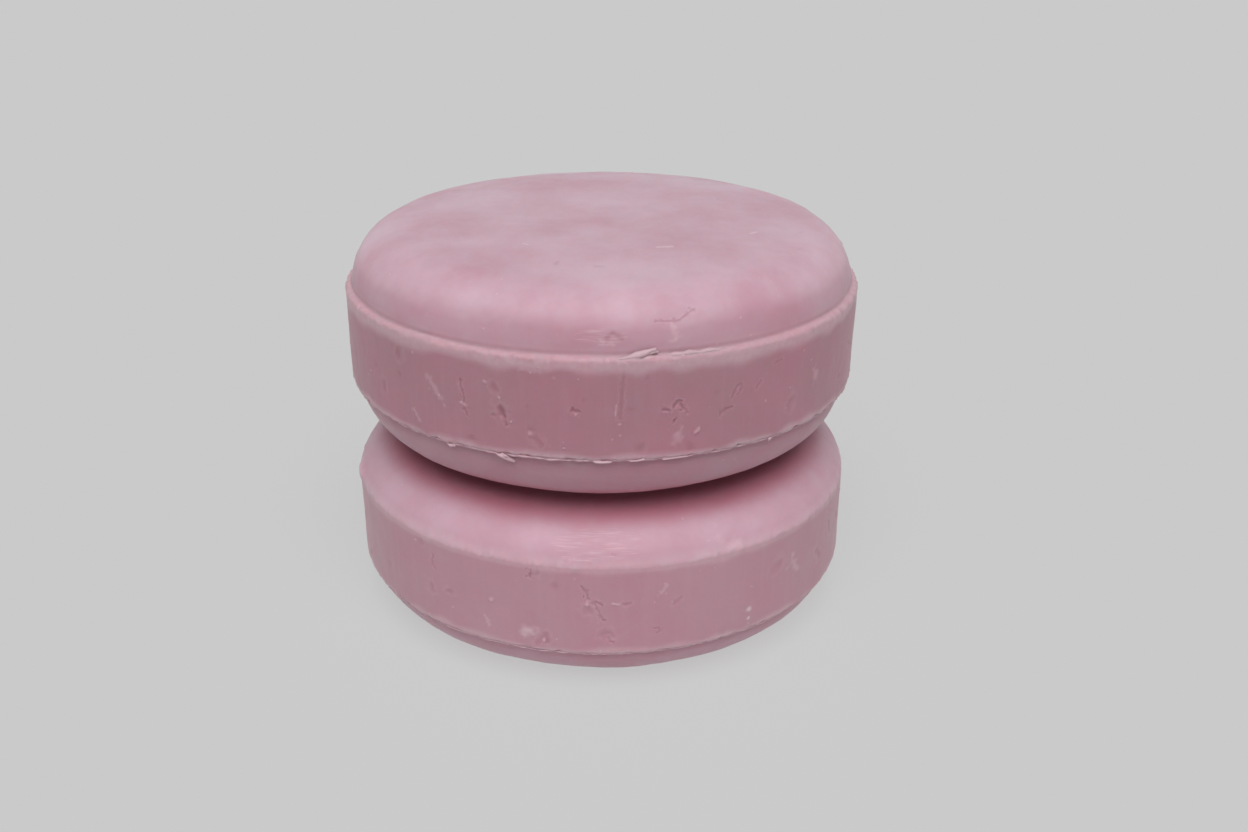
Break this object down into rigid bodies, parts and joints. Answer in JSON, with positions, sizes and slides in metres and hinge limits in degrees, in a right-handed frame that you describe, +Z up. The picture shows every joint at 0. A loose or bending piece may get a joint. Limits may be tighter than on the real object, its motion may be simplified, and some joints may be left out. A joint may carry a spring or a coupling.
{
  "type": "shaving soap puck",
  "caption": "Loose pressed shaving soap pucks stacked one on the other; they lie in a mug or bowl and are lathered with a wet brush.",
  "frame": {"origin": "centre of the flat land that the lower puck rests on", "axes": "+Z up along the shared axis of the two round pucks; X and Y lie in the resting plane"},
  "size_m": [0.075, 0.075, 0.058],
  "materials": {
    "soap": "waxy satin, milled soap, faintly translucent"
  },
  "bodies": {
    "lower_puck": {"lower_puck": "soap"},
    "upper_puck": {"upper_puck": "soap"}
  },
  "joints": [
    {"name": "upper_puck_lift", "type": "slide", "parent": "lower_puck", "child": "upper_puck", "axis": [0, 0, 1], "range_m": [0, 0.024]}
  ]
}
